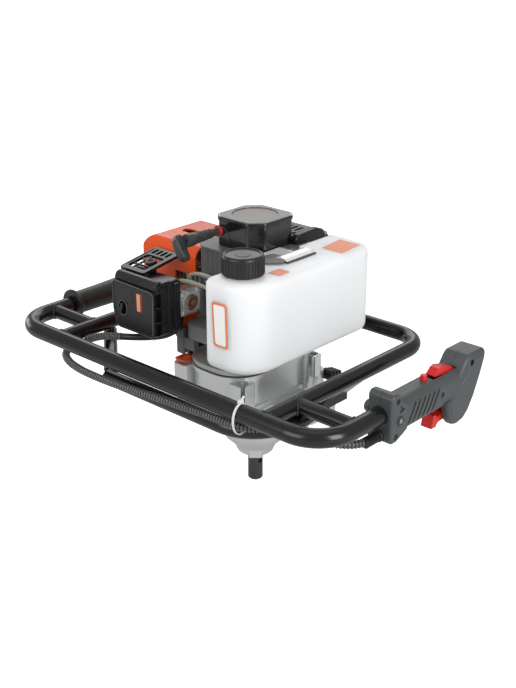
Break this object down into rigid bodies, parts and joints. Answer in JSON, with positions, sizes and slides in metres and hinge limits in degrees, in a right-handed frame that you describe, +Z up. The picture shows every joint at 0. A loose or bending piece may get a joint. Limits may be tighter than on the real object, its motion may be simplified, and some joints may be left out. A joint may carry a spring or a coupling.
{
  "type": "earth auger power head",
  "caption": "Earth auger power head: two-stroke engine and fuel tank over a reduction gearbox with a vertical drive shaft, in a tubular two-handed frame with a throttle grip.",
  "frame": {"origin": "on the output shaft axis, at the lower face of the gearbox hub", "axes": "+Z up along the shaft away from the auger, +X along the front bar towards the throttle handle, +Y to the back of the machine"},
  "size_m": [0.559, 0.3341, 0.371],
  "materials": {
    "frame_paint": "satin black powder coat",
    "steel": "plain machined steel",
    "black_rubber": "matt black rubber",
    "handle_plastic": "fine-grained dark grey plastic",
    "red_plastic": "smooth red plastic",
    "black_plastic": "satin black plastic",
    "white_nylon": "plain white nylon",
    "cast_aluminium": "as-cast grey aluminium",
    "dark_aluminium": "dark as-cast aluminium",
    "dark_steel": "black oxide steel",
    "gasket_fibre": "pressed fibre",
    "ceramic_white": "glazed white",
    "zinc": "bright zinc plate",
    "brass": "plain brass",
    "filter_foam": "open foam",
    "orange_plastic": "glossy orange plastic",
    "tank_plastic": "milky translucent plastic",
    "clear_hose": "yellowish clear hose"
  },
  "bodies": {
    "machine": {"handle_bar": "frame_paint", "guard_loop": "frame_paint", "lower_guard": "frame_paint", "cross_tubes": "frame_paint", "frame_brackets": "frame_paint", "case_bolts": "steel", "handle_screws": "steel", "ball_bearings": "steel", "rewind_spring": "steel", "left_grip": "black_rubber", "shaft_seal": "black_rubber", "ignition_lead": "black_rubber", "tank_strip": "black_rubber", "handle_shell_outer": "handle_plastic", "handle_shell_inner": "handle_plastic", "rope_bush": "red_plastic", "throttle_cable": "black_plastic", "fan_housing": "black_plastic", "ignition_coil": "black_plastic", "starter_housing": "black_plastic", "filter_base": "black_plastic", "insulator": "black_plastic", "cable_tie": "white_nylon", "gearbox_lower": "cast_aluminium", "gearbox_upper": "cast_aluminium", "crankcase": "cast_aluminium", "engine_cylinder": "cast_aluminium", "carburettor": "cast_aluminium", "clutch_housing": "dark_aluminium", "muffler_guard": "dark_steel", "muffler": "dark_steel", "case_gasket": "gasket_fibre", "spark_plug": "ceramic_white", "carb_cover": "zinc", "tank_bracket": "zinc", "filter_element": "filter_foam", "cylinder_cover": "orange_plastic", "fuel_tank": "tank_plastic", "fuel_line": "clear_hose"},
    "output": {"output_shaft": "dark_steel", "output_gear": "steel"},
    "counter": {"counter_shaft": "steel"},
    "drum": {"clutch_drum": "steel"},
    "crank": {"crankshaft": "steel", "flywheel": "cast_aluminium", "clutch_shoes": "gasket_fibre"},
    "piston_set": {"piston": "cast_aluminium", "connecting_rod": "steel", "rod_pins": "steel"},
    "pull_handle": {"starter_handle": "black_plastic", "starter_rope": "white_nylon"},
    "pulley": {"starter_pulley": "white_nylon"},
    "trigger": {"throttle_trigger": "red_plastic"},
    "lock": {"lock_lever": "red_plastic"},
    "button": {"stop_button": "red_plastic"},
    "carb_lever": {"throttle_lever": "brass"},
    "filter_lid": {"filter_cover": "black_plastic"},
    "choke": {"choke_lever": "black_plastic"},
    "cap": {"fuel_cap": "black_plastic"}
  },
  "joints": [
    {"name": "output_spin", "type": "hinge", "parent": "machine", "child": "output", "pos_m": [0, 0, 0], "axis": [0, 0, 1], "continuous": true},
    {"name": "counter_spin", "type": "hinge", "parent": "machine", "child": "counter", "pos_m": [0, -0.042, 0.09], "axis": [0, 0, 1], "continuous": true},
    {"name": "drum_spin", "type": "hinge", "parent": "machine", "child": "drum", "pos_m": [0, 0, 0.13], "axis": [0, 0, 1], "continuous": true},
    {"name": "crank_spin", "type": "hinge", "parent": "machine", "child": "crank", "pos_m": [0, 0, 0.213], "axis": [0, 0, 1], "continuous": true},
    {"name": "piston_slide", "type": "slide", "parent": "machine", "child": "piston_set", "axis": [1, 0, 0], "range_m": [0, 0.034]},
    {"name": "starter_pull", "type": "slide", "parent": "machine", "child": "pull_handle", "axis": [0, -1, 0], "range_m": [0, 0.07], "stiffness_N_per_m": 60, "springref_m": -0.03},
    {"name": "pulley_spin", "type": "hinge", "parent": "machine", "child": "pulley", "pos_m": [0, 0, 0.311], "axis": [0, 0, 1], "range_deg": [0, 161]},
    {"name": "throttle_squeeze", "type": "hinge", "parent": "machine", "child": "trigger", "pos_m": [0.26, 0.056, 0.132], "axis": [-1, 0, 0], "range_deg": [0, 10], "stiffness_Nm_per_rad": 0.8, "springref_deg": -5.73},
    {"name": "carb_lever_turn", "type": "hinge", "parent": "machine", "child": "carb_lever", "pos_m": [-0.07, -0.074, 0.244], "axis": [0, 0, -1], "range_deg": [0, 51]},
    {"name": "lock_press", "type": "hinge", "parent": "machine", "child": "lock", "pos_m": [0.26, 0.05, 0.1775], "axis": [1, 0, 0], "range_deg": [0, 10], "stiffness_Nm_per_rad": 0.4, "springref_deg": -5.73},
    {"name": "stop_press", "type": "slide", "parent": "machine", "child": "button", "axis": [0, 0, -1], "range_m": [0, 0.003], "stiffness_N_per_m": 500, "springref_m": -0.001},
    {"name": "filter_off", "type": "slide", "parent": "machine", "child": "filter_lid", "axis": [0, -1, 0], "range_m": [0, 0.06]},
    {"name": "choke_turn", "type": "hinge", "parent": "filter_lid", "child": "choke", "pos_m": [-0.098, -0.13, 0.219], "axis": [0, -1, 0], "range_deg": [0, 70]},
    {"name": "cap_turn", "type": "hinge", "parent": "machine", "child": "cap", "pos_m": [0.084, -0.112, 0.31], "axis": [0, 0, 1], "range_deg": [0, 270]}
  ],
  "couplings": [
    {"joint": "counter_spin", "follows": "output_spin", "ratio": -5},
    {"joint": "drum_spin", "follows": "output_spin", "ratio": 30},
    {"joint": "pulley_spin", "follows": "starter_pull", "rad_per_m": 40},
    {"joint": "carb_lever_turn", "follows": "throttle_squeeze", "ratio": 5}
  ]
}
